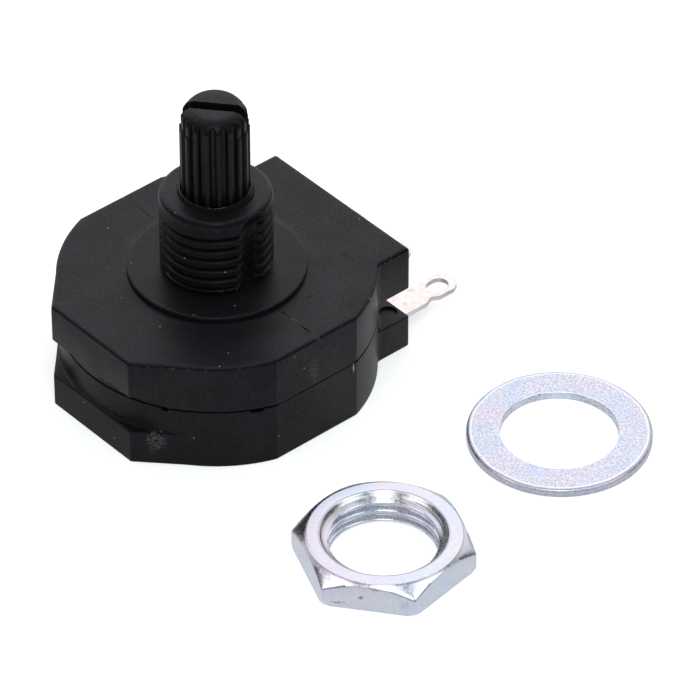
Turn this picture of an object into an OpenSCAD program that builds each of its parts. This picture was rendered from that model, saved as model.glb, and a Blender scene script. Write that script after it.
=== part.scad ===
// Rotary potentiometer with a moulded housing, a threaded bush and a splined shaft.
// Millimetres. The origin is on the shaft axis at the mounting face, +Z towards the
// knob, +Y towards the solder terminals, +X towards the side flat seen at the front.
// Heights below are counted from the bench that the housing stands on.

/* [Housing] */
// Diameter of the round wall of cover and case
body_d = 27.7; // [26:0.1:33]
// Distance across the two side flats
body_flats = 26.2; // [24:0.1:30]
// Height of the housing without its mounting boss
body_h = 10.8; // [9:0.1:13]
// Height of the bottom case up to the parting line
case_h = 5.9; // [4.8:0.1:7]
// Thickness of the floor of the case
floor_t = 1.2; // [1:0.05:2]
// Thickness of the roof of the cover
roof_t = 1.5; // [1.2:0.05:2.2]
// Thinnest wall round the inner cavity
wall_t = 1; // [0.8:0.05:1.6]
// Rounding of the top edges of the cover
edge_r = 0.32; // [0.1:0.02:0.5]
// Depth of the shadow line at the parting plane
seam_depth = 0.15; // [0.05:0.01:0.3]
// Height of the shadow line at the parting plane
seam_h = 0.12; // [0.05:0.01:0.25]
// Width of the ledge that the laminate rests on
ledge_w = 0.7; // [0.5:0.05:0.9]
// Clearance between pieces that are fitted by hand
fit_gap = 0.05; // [0.02:0.01:0.1]

/* [Corner lug] */
// Width of the flat at the front of the lug
lug_w = 10.3; // [8:0.1:14]
// How far that flat stands out from the round wall
lug_out = 0.3; // [0.2:0.02:0.8]
// Height of the foot and of the terminal block on the case
foot_h = 3.3; // [2.7:0.05:4]
// Height of the underside of the cover's lug above the parting line
lug_step = 1.2; // [0.8:0.05:1.6]

/* [Terminal block] */
// How far the end face of the block stands out from the round wall
block_out = 0.4; // [0.1:0.02:0.8]
// Material beside the outer terminals
block_cheek = 1.52; // [1:0.02:2]
// Height of the underside of the cover's block above the parting line
block_step = 0.5; // [0.2:0.05:0.8]
// Radius of the two shallow recesses on the block
recess_r = 0.8; // [0.5:0.05:1]
// Depth of those recesses
recess_depth = 0.25; // [0.1:0.05:0.4]

/* [Bush] */
// Diameter of the mounting boss round the bush
boss_d = 15.6; // [13:0.1:20]
// Height of the mounting boss
boss_h = 0.55; // [0.3:0.05:1]
// Diameter over the thread of the bush
bush_d = 9.8; // [8.1:0.1:12]
// Length of the bush above the mounting face
bush_len = 7.85; // [6:0.05:10]
// Depth of the thread and of the smooth strip that interrupts it
thread_depth = 0.6; // [0.3:0.05:0.7]
// Height of the chamfer at the mouth of the bush
bush_chamfer = 0.6; // [0.3:0.05:0.9]

/* [Shaft] */
// Diameter of the shaft over its splines
shaft_d = 6; // [5:0.05:7.2]
// Length of the shaft above the mounting face
shaft_len = 16.65; // [13:0.05:20]
// Length of the splined end
spline_len = 9.4; // [7:0.1:10]
// Number of spline teeth
spline_teeth = 18; // [12:1:24]
// Depth of the spline grooves
spline_depth = 0.4; // [0.2:0.02:0.5]
// Width of a spline groove at the crest of the teeth
spline_gap = 0.62; // [0.4:0.01:0.75]
// Length of the reduced tip of the shaft
tip_len = 2; // [1.2:0.1:3]
// How much smaller the radius of that tip is
tip_step = 0.2; // [0.1:0.02:0.3]
// Height of the chamfer at the end of the shaft
tip_chamfer = 0.6; // [0.3:0.05:0.8]
// Width of the screwdriver slot
slot_w = 0.95; // [0.7:0.05:1.3]
// Depth of the screwdriver slot
slot_depth = 2; // [1.2:0.1:2.6]
// Radial clearance of the shaft in the bush and in the foot bearing
run_gap = 0.05; // [0.02:0.01:0.08]
// Height of the thrust flange under the roof
flange_h = 1.5; // [1:0.1:1.9]
// How far the thrust flange stands out from the shaft
flange_out = 1.4; // [1:0.1:1.8]
// Diameter of the lower pivot
pivot_d = 3; // [2.4:0.1:3.8]
// Wall of the bearing round the lower pivot
pivot_wall = 1.2; // [0.8:0.1:1.4]
// Depth of the two flats that drive the contact carrier
key_depth = 0.7; // [0.4:0.05:0.9]

/* [Element] */
// Thickness of the laminate that carries the tracks
wafer_t = 1; // [0.8:0.05:1.4]
// Thickness of the printed films
film_t = 0.07; // [0.05:0.01:0.1]
// Distance from the edge of the laminate to the middle of the track
track_inset = 3.3; // [2.9:0.1:3.7]
// Width of the resistive track
track_w = 2; // [1.6:0.1:2.3]
// Width of the collector ring
ring_w = 1.4; // [1.1:0.1:1.6]
// Total turn of the shaft
travel = 300; // [240:1:320]

/* [Wiper] */
// Thickness of the spring sheet
sheet_t = 0.2; // [0.15:0.01:0.25]
// Height of the step between the sheet and its contact tongues
arm_drop = 0.55; // [0.4:0.05:0.7]
// Height of the carbon brushes
brush_h = 0.45; // [0.3:0.05:0.6]
// Radius of the brush on the track
brush_r = 0.6; // [0.4:0.05:0.8]
// Thickness of the disc of the contact carrier
disc_t = 1.4; // [1:0.1:1.6]
// Height of the stop lug above the disc
stop_h = 1.2; // [0.8:0.1:1.4]
// Turn of the shaft away from the middle of its travel
rest_turn = -49.6; // [-60:0.1:-40]

/* [Terminals] */
// Distance between neighbouring terminals
terminal_pitch = 6.1; // [5:0.1:7.3]
// Width of a terminal
terminal_w = 2.56; // [2:0.02:3]
// Thickness of a terminal
terminal_t = 0.45; // [0.35:0.01:0.6]
// Length of a terminal outside the block
terminal_out = 7.55; // [6.2:0.05:9]
// Width of the neck behind the solder eye
neck_w = 1.94; // [1.6:0.02:2.3]
// Width over the solder eye
eye_w = 2.6; // [2.1:0.02:3]
// Material between the solder hole and the tip
eye_rim = 0.75; // [0.5:0.05:0.9]
// Length from the shoulder to the tip
eye_len = 4.05; // [3.6:0.05:4.6]
// Width of the oval solder hole
eye_hole_w = 1.64; // [1.3:0.02:1.9]
// Length of the oval solder hole
eye_hole_len = 2.1; // [1.9:0.02:2.4]
// Radius of the rivet shanks
rivet_r = 0.6; // [0.45:0.02:0.72]
// Radius of the rivet heads
rivet_head_r = 0.8; // [0.7:0.02:1.1]
// Height of the rivet heads
rivet_head_h = 0.3; // [0.2:0.02:0.4]

/* [Nut and washer] */
// Width of the nut across its flats
nut_af = 13.7; // [12:0.1:17]
// Thickness of the nut
nut_t = 2.85; // [2:0.05:3.6]
// Slope of the chamfer on top of the nut
nut_bevel = 39; // [20:1:45]
// Width of the cut at the lower corners of the nut
nut_corner = 0.3; // [0.1:0.05:0.6]
// Outer diameter of the washer
washer_d = 16; // [13:0.1:19]
// Thickness of the washer
washer_t = 0.8; // [0.4:0.05:1.2]
// Clearance of the washer on the bush
washer_gap = 0.2; // [0.1:0.02:0.4]
// Place of the nut beside the housing
nut_x = 28.7; // [23:0.1:34]
// Place of the nut along the terminals' direction
nut_y = -6.1; // [-7:0.1:-5]
// Turn of one corner of the nut
nut_turn = 38; // [30:0.1:45]
// Place of the washer beside the housing
washer_x = 26.7; // [22:0.1:32]
// Place of the washer along the terminals' direction
washer_y = 15.7; // [12.5:0.05:18.5]

/* [Hidden] */
$fn = 96;

// Outline of the housing
body_r = body_d / 2;
flat_x = min(body_flats, body_d) / 2;
cavity_r = flat_x - wall_t;
lug_y = body_r + lug_out;
block_y = body_r + block_out;
block_x = terminal_pitch + terminal_w / 2 + block_cheek;
// The two slanted faces of the lug leave the round wall at a very small angle
lug_face_r = body_r - 0.04;
lug_dir = -atan2(lug_y, lug_w / 2) + acos(lug_face_r / norm([lug_w / 2, lug_y]));
lug_join = lug_face_r * sin(lug_dir);
// Angles, widths and height of the four small nicks under the parting line
NICKS = [[-59, 0.6], [-26, 1.1], [-121, 0.6], [-154, 1.1]];
nick_h = 0.25;
nick_depth = 0.5;
// Middle and half width, in degrees, of the strip where the thread is interrupted
strip_dir = -5;
strip_half = 10.5;

// Heights, from the bench up
mount_z = body_h + boss_h;
bush_top = mount_z + bush_len;
tip_z = mount_z + shaft_len;
ceiling_z = body_h - roof_t;
terminal_z = floor_t + rivet_head_h + fit_gap;
wafer_z = terminal_z + terminal_t;
film_z = wafer_z + wafer_t;
brush_z = film_z + film_t + fit_gap;
tongue_z = brush_z + brush_h;
sheet_z = tongue_z + arm_drop;
carrier_z = sheet_z + sheet_t;
disc_z = carrier_z + disc_t;
flange_z = ceiling_z - fit_gap - flange_h;
bearing_z = film_z + film_t + 0.18;
pivot_z = floor_t - 0.4;

// Turn of the grooves on the shaft, counted from the slot
groove_turn = -3.7;

// Radii of what turns and of what it turns in
shaft_r = shaft_d / 2;
bush_r = bush_d / 2;
pivot_r = pivot_d / 2;
bearing_r = pivot_r + pivot_wall;
key_r = shaft_r - 0.1;
key_half = shaft_r - key_depth;
wafer_r = cavity_r - 2 * fit_gap;
wafer_hole_r = bearing_r + 0.2;
ring_r = wafer_hole_r + 1.1 + ring_w / 2;
track_r = wafer_r - track_inset;
disc_r = track_r + 0.3;
lug_in_r = disc_r - 1.9;
lug_out_r = cavity_r - 1.4;
sheet_in_r = key_r + 0.3;
sheet_out_r = ring_r + 1.3;
stud_r = 0.5;
stud_x = 1.5;
stud_y = ring_r;
tongue_w = 1.2;
// Half angles of the fixed stop and of the lug that meets it
stop_half = (360 - travel) / 4;
stop_slack = 0.25;
// Rivets sit as far out as the ledge allows their heads
rivet_y = sqrt(pow(cavity_r - ledge_w - rivet_head_r - 2 * fit_gap, 2) - pow(terminal_pitch, 2));
tip_y = block_y + terminal_out;
rivet_hole_r = rivet_r + 0.02;
nut_hole_r = bush_r - 0.27;
nut_mouth_r = bush_r + 0.5;
nut_face_r = nut_af / 2 - 0.25;
nut_corner_r = nut_af / sqrt(3);
washer_hole_r = bush_r + washer_gap;

// Everything is built from the bench up and then brought to the mounting face
module from_bench() translate([0, 0, -mount_z]) children();
module at_rest() rotate([0, 0, rest_turn]) children();

// Points of a corner rounded with a radius, or the sharp corner where that is zero
function rounded_corner(x, z, r) = r > 0 ?
  [for (a = [0:22.5:90]) [x - r + r * cos(a), z - r + r * sin(a)]] : [[x, z]];

// Upright slab that ends in a flat face at a distance from the axis, in one direction,
// with a rounded upper edge
module faced(dir, dist, z0, z1, r) {
  rotate([0, 0, dir]) rotate([90, 0, 0]) linear_extrude(height = 80, center = true)
    polygon(concat([[-60, z0], [dist, z0]], rounded_corner(dist, z1, r), [[-60, z1]]));
}

// Disc with a rounded upper edge
module soft_disc(rad, z0, z1, r) {
  rotate_extrude() polygon(concat([[0, z0], [rad, z0]], rounded_corner(rad, z1, r), [[0, z1]]));
}

// Round wall with its two side flats
module round_form(z0, z1, r) intersection() {
  soft_disc(body_r, z0, z1, r);
  faced(0, flat_x, z0 - 1, z1, r);
  faced(180, flat_x, z0 - 1, z1, r);
}

// Corner lug: one flat and two slanted faces that run into the round wall
module lug_form(z0, z1, r) intersection() {
  faced(-90, lug_y, z0, z1, r);
  faced(lug_dir, lug_face_r, z0, z1, r);
  faced(180 - lug_dir, lug_face_r, z0, z1, r);
  faced(0, flat_x, z0, z1, r);
  faced(180, flat_x, z0, z1, r);
  translate([-30, lug_join - 30, z0]) cube([60, 30, z1 - z0]);
}

// Block that carries the terminals
module block_form(z0, z1, r) intersection() {
  faced(0, block_x, z0, z1, r);
  faced(180, block_x, z0, z1, r);
  faced(90, block_y, z0, z1, r);
  translate([-30, 0, z0]) cube([60, 30, z1 - z0]);
}

// Part of a flat ring between two angles, reaching from one radius to another
module sector(r0, r1, a0, a1) {
  steps = max(2, ceil((a1 - a0) / 6));
  intersection() {
    difference() { circle(r = r1); circle(r = r0); }
    polygon(concat([[0, 0]], [for (i = [0:steps]) let (a = a0 + (a1 - a0) * i / steps)
      2 * r1 * [cos(a), sin(a)]]));
  }
}

// Round bar with two flats, as on the driven part of the shaft
module double_d(r, half, z0, z1) intersection() {
  translate([0, 0, z0]) cylinder(r = r, h = z1 - z0);
  translate([-half, -2 * r, z0]) cube([2 * half, 4 * r, z1 - z0]);
}

module top_cover() color("#3b383d") from_bench() {
  difference() {
    union() {
      round_form(case_h + seam_h, body_h, edge_r);
      lug_form(case_h + lug_step, body_h, edge_r);
      block_form(case_h + block_step, body_h, edge_r);
      // Recessed foot of the cover wall, which makes the shadow line
      intersection() {
        translate([0, 0, case_h]) cylinder(r = body_r - seam_depth, h = 1);
        faced(0, flat_x - seam_depth, case_h, case_h + 1, 0);
        faced(180, flat_x - seam_depth, case_h, case_h + 1, 0);
      }
      // Mounting boss and bush
      soft_disc(boss_d / 2, body_h - 0.1, mount_z, min(edge_r, boss_h / 2));
      translate([0, 0, body_h]) cylinder(r = bush_r, h = bush_top - bush_chamfer - body_h);
      translate([0, 0, bush_top - bush_chamfer])
        cylinder(r1 = bush_r, r2 = bush_r - thread_depth, h = bush_chamfer);
    }
    // Cavity, bearing and the countersink at its mouth
    translate([0, 0, case_h - 1]) cylinder(r = cavity_r, h = ceiling_z - case_h + 1);
    translate([0, 0, case_h]) cylinder(r = shaft_r + run_gap, h = tip_z);
    translate([0, 0, bush_top - 0.25])
      cylinder(r1 = shaft_r + run_gap, r2 = shaft_r + run_gap + 0.3, h = 0.3);
    // Strip along the thread
    translate([0, 0, mount_z]) linear_extrude(height = bush_len)
      sector(bush_r - thread_depth, bush_r + 1, strip_dir - strip_half, strip_dir + strip_half);
  }
  // Ring that enters the case and holds the laminate down, open at the rivets
  difference() {
    translate([0, 0, film_z]) cylinder(r = cavity_r - fit_gap, h = case_h + 1 - film_z);
    translate([0, 0, film_z - 1]) cylinder(r = cavity_r - 0.8, h = case_h + 3 - film_z);
    translate([-30, rivet_y - 2.5, film_z - 1]) cube([60, 30, case_h + 3 - film_z]);
  }
  // Web that joins that ring to the wall of the cover
  difference() {
    translate([0, 0, case_h]) cylinder(r = cavity_r + 0.1, h = 1);
    translate([0, 0, case_h - 1]) cylinder(r = cavity_r - 0.8, h = 3);
    translate([-30, rivet_y - 2.5, case_h - 1]) cube([60, 30, 3]);
  }
  // Fixed end stop, hanging from the roof
  translate([0, 0, disc_z + stop_slack]) linear_extrude(height = ceiling_z - disc_z)
    sector(disc_r + 0.1, cavity_r + 0.1, 90 - stop_half, 90 + stop_half);
}

// Outline of the channel that a terminal lies in
module terminal_window(x) translate([x - terminal_w / 2 - fit_gap, rivet_y - 1.5, terminal_z - fit_gap])
  cube([terminal_w + 2 * fit_gap, body_d, terminal_t + 2 * fit_gap]);

module bottom_case() color("#333136") from_bench() difference() {
  union() {
    round_form(0, case_h, 0);
    lug_form(0, foot_h, 0);
    block_form(0, foot_h, 0);
  }
  // Cavity above the ledge, and below it inside the ledge
  translate([0, 0, wafer_z]) cylinder(r = cavity_r, h = case_h);
  difference() {
    translate([0, 0, floor_t]) cylinder(r = cavity_r - ledge_w, h = case_h);
    translate([0, 0, floor_t - 1]) cylinder(r = bearing_r, h = bearing_z - floor_t + 1);
  }
  // Foot bearing
  translate([0, 0, pivot_z]) cylinder(r = pivot_r + run_gap, h = case_h);
  for (x = [-terminal_pitch, 0, terminal_pitch]) terminal_window(x);
  for (s = [-1, 1])
    translate([s * (block_x - 2 * recess_r), block_y - recess_r - 0.25, foot_h - recess_depth])
      cylinder(r = recess_r, h = 1);
  for (n = NICKS) rotate([0, 0, n[0]])
    translate([min(body_r, flat_x / max(0.01, abs(cos(n[0])))) - nick_depth, -n[1] / 2, case_h - nick_h])
      cube([3, n[1], 1]);
}

// Grooves between the teeth, cut from the end of the shaft down
module spline_grooves() {
  pitch = 360 / spline_teeth;
  floor_x = shaft_r - spline_depth;
  floor_half = spline_gap / 2 - 0.35 * spline_depth;
  side = floor_half + 0.35;
  for (i = [0:spline_teeth - 1])
    rotate([0, 0, (i + 0.5) * pitch + groove_turn]) translate([0, 0, tip_z - spline_len])
      linear_extrude(height = spline_len + 1)
        polygon([[floor_x, -floor_half], [floor_x + 1, -side], [floor_x + 1, side], [floor_x, floor_half]]);
}

module shaft() color("#1b1b1d") from_bench() at_rest() difference() {
  union() {
    translate([0, 0, pivot_z + fit_gap]) cylinder(r = pivot_r, h = flange_z - pivot_z);
    double_d(key_r, key_half, bearing_z + fit_gap, flange_z + 0.1);
    translate([0, 0, flange_z]) cylinder(r = shaft_r + flange_out, h = flange_h);
    // Stem with its reduced tip and chamfer
    rotate_extrude() polygon([[0, flange_z + 0.5], [shaft_r, flange_z + 0.5], [shaft_r, tip_z - tip_len],
      [shaft_r - tip_step, tip_z - tip_len + 0.15], [shaft_r - tip_step, tip_z - tip_chamfer],
      [shaft_r - tip_step - 0.7, tip_z], [0, tip_z]]);
  }
  spline_grooves();
  translate([-slot_w / 2, -shaft_d, tip_z - slot_depth]) cube([slot_w, 2 * shaft_d, slot_depth + 1]);
}

// Two holes or studs that locate the spring sheet on the carrier
module stud_places() for (s = [-1, 1]) rotate([0, 0, -90]) translate([stud_x, s * stud_y, 0]) children();

module contact_carrier() color("#d8d3c4") from_bench() at_rest() {
  difference() {
    union() {
      translate([0, 0, carrier_z]) cylinder(r = disc_r, h = disc_t);
      translate([0, 0, carrier_z]) cylinder(r = shaft_r + flange_out + 0.2, h = flange_z - carrier_z);
      translate([0, 0, carrier_z]) linear_extrude(height = disc_t + stop_h)
        sector(lug_in_r, lug_out_r, -90 - stop_half + 0.2, -90 + stop_half - 0.2);
    }
    double_d(key_r + 0.02, key_half + 0.02, carrier_z - 1, flange_z + 1);
  }
  // Studs through the spring sheet, with their staked heads
  stud_places() {
    translate([0, 0, sheet_z - 0.1]) cylinder(r = stud_r, h = sheet_t + 0.2);
    translate([0, 0, sheet_z - 0.2]) cylinder(r = stud_r + 0.35, h = 0.2);
  }
}

// Side view of a contact tongue: it leaves the sheet, steps down and ends level
module tongue(root, bend, reach) rotate([90, 0, 0]) linear_extrude(height = tongue_w, center = true)
  polygon([[root, sheet_z + sheet_t], [bend, sheet_z + sheet_t], [bend + 0.9, tongue_z + sheet_t],
    [reach, tongue_z + sheet_t], [reach, tongue_z], [bend + 0.8, tongue_z],
    [bend - 0.1, sheet_z], [root, sheet_z]]);

module wiper_spring() color("#c9b07a") from_bench() at_rest() {
  difference() {
    translate([0, 0, sheet_z]) linear_extrude(height = sheet_t) difference() {
      circle(r = sheet_out_r);
      circle(r = sheet_in_r);
      // Window that the collector tongue is bent out of
      rotate([0, 0, 90]) translate([ring_r - tongue_w / 2 - 0.2, -2.1]) square([tongue_w + 0.4, 3.3]);
    }
    stud_places() translate([0, 0, sheet_z - 1]) cylinder(r = stud_r + 0.03, h = 3);
  }
  rotate([0, 0, -90]) tongue(sheet_out_r - 0.4, sheet_out_r, track_r + brush_r + 0.2);
  rotate([0, 0, 90]) translate([ring_r, 0, 0]) rotate([0, 0, 90]) tongue(-2.4, -1.9, brush_r + 0.1);
}

module brush(r) translate([0, 0, brush_z]) cylinder(r = r, h = brush_h, $fn = 48);

module track_brush() color("#2a2a2c") from_bench() at_rest()
  rotate([0, 0, -90]) translate([track_r, 0, 0]) brush(brush_r);

module collector_brush() color("#2a2a2c") from_bench() at_rest()
  rotate([0, 0, 90]) translate([ring_r, 0, 0]) brush(brush_r - 0.1);

module element_wafer() color("#8a5a34") from_bench() translate([0, 0, wafer_z])
  linear_extrude(height = wafer_t) difference() {
    circle(r = wafer_r);
    circle(r = wafer_hole_r);
    for (x = [-terminal_pitch, 0, terminal_pitch]) translate([x, rivet_y]) circle(r = rivet_hole_r, $fn = 32);
  }

// A printed film lies on the laminate
module film() from_bench() translate([0, 0, film_z]) linear_extrude(height = film_t) children();

// The track covers the travel of the brush; its ends meet the two silver electrodes
module resistive_track() color("#1d1d1f") film()
  sector(track_r - track_w / 2, track_r + track_w / 2, 90 + (360 - travel) / 2, 450 - (360 - travel) / 2);

// Silver pad at the end of the track, with a tail outside the track that runs to the rivet
module electrode() color("#c8c8c4") film() {
  outer = track_r + track_w / 2;
  start = 90 - (360 - travel) / 2;
  difference() {
    union() {
      sector(track_r - track_w / 2, outer, start, start + 15);
      sector(outer - track_w / 10, outer + track_w / 6, start + 1, start + 12);
      sector(outer + fit_gap, norm([terminal_pitch, rivet_y]) + rivet_r,
        atan2(rivet_y, terminal_pitch), start + 12);
      // Pad round the rivet, clear of the track
      difference() {
        translate([terminal_pitch, rivet_y]) circle(r = rivet_head_r, $fn = 48);
        circle(r = outer + fit_gap);
      }
    }
    translate([terminal_pitch, rivet_y]) circle(r = rivet_hole_r, $fn = 32);
  }
}
module electrode_right() electrode();
module electrode_left() mirror([1, 0, 0]) electrode();

module collector_ring() color("#c8c8c4") film() difference() {
  union() {
    circle(r = ring_r + ring_w / 2);
    translate([-rivet_r, 0]) square([2 * rivet_r, rivet_y]);
    translate([0, rivet_y]) circle(r = rivet_head_r, $fn = 48);
  }
  circle(r = ring_r - ring_w / 2);
  translate([0, rivet_y]) circle(r = rivet_hole_r, $fn = 32);
}

// Solder terminal: a strip with shoulders, a neck and an eye with an oval hole
module terminal(x) color("#d9d0cc") from_bench() translate([x, 0, terminal_z])
  linear_extrude(height = terminal_t) difference() {
    w = terminal_w / 2;
    e = eye_w / 2;
    n = neck_w / 2;
    shoulder = tip_y - eye_len;
    polygon(concat(
      [[-w, rivet_y - 1.2], [w, rivet_y - 1.2], [w, shoulder], [n, shoulder + 0.5], [n, shoulder + 0.8]],
      [[e, tip_y - 2.6], [e, tip_y - 0.95], [e - 0.28, tip_y - 0.4], [e - 0.75, tip_y]],
      [[-e + 0.75, tip_y], [-e + 0.28, tip_y - 0.4], [-e, tip_y - 0.95], [-e, tip_y - 2.6]],
      [[-n, shoulder + 0.8], [-n, shoulder + 0.5], [-w, shoulder]]));
    translate([0, rivet_y]) circle(r = rivet_hole_r, $fn = 32);
    // Oval hole: two half circles with straight sides between them
    oval = (eye_hole_len - eye_hole_w) / 2;
    translate([0, tip_y - eye_rim - eye_hole_len / 2]) {
      for (s = [-1, 1]) translate([0, s * oval]) circle(r = eye_hole_w / 2, $fn = 40);
      square([eye_hole_w, 2 * oval], center = true);
    }
  }
module terminal_left() terminal(-terminal_pitch);
module terminal_centre() terminal(0);
module terminal_right() terminal(terminal_pitch);

// Tubular rivet: flange under the terminal, head on the film
module rivet(x) color("#cfae66") from_bench() translate([x, rivet_y, 0]) difference() {
  union() {
    translate([0, 0, terminal_z - rivet_head_h]) cylinder(r = rivet_head_r, h = rivet_head_h, $fn = 48);
    translate([0, 0, terminal_z - 0.1])
      cylinder(r = rivet_r, h = film_z + film_t - terminal_z + 0.2, $fn = 48);
    translate([0, 0, film_z + film_t])
      cylinder(r1 = rivet_head_r, r2 = rivet_head_r - 0.15, h = rivet_head_h, $fn = 48);
  }
  translate([0, 0, film_z + film_t - 0.3]) cylinder(r = rivet_r / 2, h = 2, $fn = 32);
}
module rivet_left() rivet(-terminal_pitch);
module rivet_centre() rivet(0);
module rivet_right() rivet(terminal_pitch);

// Hexagon with chamfered corners and a countersunk hole, lying on the bench
module hex_nut() color("#c9ccd6") from_bench() translate([nut_x, nut_y, 0]) difference() {
  intersection() {
    rotate([0, 0, nut_turn]) cylinder(r = nut_corner_r, h = nut_t, $fn = 6);
    rim = nut_corner_r + 0.05;
    rotate_extrude() polygon([[0, 0], [nut_corner_r - nut_corner, 0], [rim, nut_corner],
      [rim, nut_t - (rim - nut_face_r) * tan(nut_bevel)], [nut_face_r, nut_t], [0, nut_t]]);
  }
  translate([0, 0, -1]) cylinder(r = nut_hole_r, h = nut_t + 2);
  rise = nut_mouth_r - nut_hole_r;
  translate([0, 0, nut_t - 0.75 * rise])
    cylinder(r1 = nut_hole_r, r2 = nut_mouth_r + rise / 3, h = rise);
  translate([0, 0, -0.01]) cylinder(r1 = bush_r, r2 = nut_hole_r, h = 0.3);
}

// Stamped ring with a rolled upper edge, lying on the bench
module flat_washer() color("#c3c8d4") from_bench() translate([washer_x, washer_y, 0]) rotate_extrude() {
  r = washer_d / 2;
  h = washer_hole_r;
  e = washer_t / 4;
  polygon([[h, 0], [r - e / 2, 0], [r, e / 2], [r, washer_t - e], [r - 0.6 * e, washer_t - 0.3 * e],
    [r - 1.8 * e, washer_t], [h + e, washer_t], [h + 0.3 * e, washer_t - 0.3 * e], [h, washer_t - e]]);
}

top_cover();
bottom_case();
shaft();
contact_carrier();
wiper_spring();
track_brush();
collector_brush();
element_wafer();
resistive_track();
electrode_left();
electrode_right();
collector_ring();
terminal_left();
terminal_centre();
terminal_right();
rivet_left();
rivet_centre();
rivet_right();
hex_nut();
flat_washer();
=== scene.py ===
# %% [markdown]
# # A rotary potentiometer, with its nut and washer beside it
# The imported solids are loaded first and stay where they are. This script gives each
# of them its look: a moulded black housing, a threaded bush, a splined shaft, tinned
# solder eyes, and a zinc-plated nut and washer.

# %% Loading the solids
import math

import bmesh
import bpy
import numpy as np
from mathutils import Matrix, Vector


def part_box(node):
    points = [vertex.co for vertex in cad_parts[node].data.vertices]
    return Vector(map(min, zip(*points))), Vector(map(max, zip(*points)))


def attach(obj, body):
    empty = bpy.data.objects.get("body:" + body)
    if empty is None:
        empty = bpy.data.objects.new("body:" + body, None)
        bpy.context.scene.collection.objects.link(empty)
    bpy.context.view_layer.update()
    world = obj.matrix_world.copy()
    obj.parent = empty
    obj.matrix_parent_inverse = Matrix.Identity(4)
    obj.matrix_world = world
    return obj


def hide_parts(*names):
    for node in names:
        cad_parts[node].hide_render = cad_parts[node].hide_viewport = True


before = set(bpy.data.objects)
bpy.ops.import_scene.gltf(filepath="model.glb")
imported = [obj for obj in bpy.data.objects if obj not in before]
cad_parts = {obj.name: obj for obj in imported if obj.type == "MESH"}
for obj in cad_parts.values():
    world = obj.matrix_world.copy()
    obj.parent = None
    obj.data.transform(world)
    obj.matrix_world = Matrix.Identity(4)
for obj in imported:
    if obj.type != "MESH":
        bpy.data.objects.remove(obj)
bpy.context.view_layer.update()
scene = bpy.context.scene

# %% [markdown]
# ## Sizes of the real piece
# All sizes are in millimetres, with heights counted from the bench that the housing
# stands on. The frame has its origin on the shaft axis at the mounting face, so one
# function shifts and scales the points of each finished mesh.

# %% Sizes and the change to the frame
FACE_Z = 11.35
BODY_R, FLAT_X = 13.85, 13.1
LUG_Y, LUG_FACE_R, LUG_DIR = 14.15, 13.81, -46.47
BLOCK_X, BLOCK_Y = 8.9, 14.25
COVER_TOP, SEAM, FOOT_TOP = 10.8, 5.9, 3.3
BUSH_R, BUSH_TOP, SHAFT_R, TIP_Z = 4.9, 19.2, 3.0, 28.0
BORE_R, BORE_END = 3.05, 9.3
CAVITY_R, LEDGE_R = 12.1, 11.3
BOSS_R, BOSS_EDGE, ROOF_EDGE, FOOT_EDGE = 7.8, 0.22, 0.32, 0.14
FLANGE_R, FLANGE_LOW, FLANGE_TOP = 4.4, 7.76, 9.25
REST_TURN = -49.6


def to_frame(points):
    """Bench millimetres to frame metres: take off the mounting height, divide by 1000."""
    return (np.asarray(points, float) - (0.0, 0.0, FACE_Z)) / 1000.0


for name in ("top_cover", "bottom_case", "shaft", "hex_nut", "flat_washer"):
    low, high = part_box(name)
    print(name, "in mm:", [round(1000 * v, 2) for v in (*low, *high)])

# %% [markdown]
# ## Surfaces from rings
# Almost every piece here is a stack of closed rings round an upright axis, such as a
# turned or moulded part gives. Neighbouring rings are joined by quads. A last ring
# joined to the first makes a tube that closes on itself, and a ring of radius zero
# makes a pole, whose doubles are merged afterwards.


# %% Rings, quads and the finished mesh
def ring(theta, radius, height, centre=(0.0, 0.0)):
    """Points at angle theta (degrees): centre + radius times (cos, sin), at a height."""
    t = np.radians(theta)
    r = np.broadcast_to(radius, t.shape)
    z = np.broadcast_to(height, t.shape)
    return np.stack([centre[0] + r * np.cos(t), centre[1] + r * np.sin(t), z], axis=1)


def ring_quads(rows, columns, closed):
    """Quad (i, j) joins ring i to ring i + 1 and column j to column j + 1, wrapping round."""
    i, j = np.meshgrid(np.arange(rows if closed else rows - 1), np.arange(columns), indexing="ij")
    up, side = (i + 1) % rows, (j + 1) % columns
    quads = np.stack([i * columns + j, i * columns + side, up * columns + side, up * columns + j], axis=2)
    return quads.reshape(-1, 4)


def finish_mesh(name, points, faces, sharp=32.0):
    """Makes the mesh, merges doubles, turns faces outwards and smooths all but sharp edges."""
    mesh = bpy.data.meshes.new(name)
    mesh.from_pydata(to_frame(points).tolist(), [], [list(map(int, f)) for f in faces])
    work = bmesh.new()
    work.from_mesh(mesh)
    bmesh.ops.remove_doubles(work, verts=work.verts, dist=2e-7)
    bmesh.ops.dissolve_degenerate(work, edges=work.edges, dist=1e-8)
    bmesh.ops.recalc_face_normals(work, faces=work.faces)
    work.to_mesh(mesh)
    work.free()
    mesh.shade_smooth()
    mesh.set_sharp_from_angle(angle=math.radians(sharp))
    piece = bpy.data.objects.new(name, mesh)
    scene.collection.objects.link(piece)
    return piece


def from_rings(name, rings, closed=True, sharp=32.0):
    """A piece from a list of rings, each an array of N points."""
    stack = np.stack(rings)
    return finish_mesh(name, stack.reshape(-1, 3), ring_quads(len(rings), stack.shape[1], closed), sharp)


def dress(piece, body, slot, material, *nodes):
    """Material, body and the solids that the piece stands for; the slot is not used."""
    piece.data.materials.clear()
    piece.data.materials.append(material)
    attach(piece, body)
    if nodes:
        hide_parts(*nodes)
    print(piece.name, len(piece.data.vertices), "points,", len(piece.data.polygons), "faces")
    return piece


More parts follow.
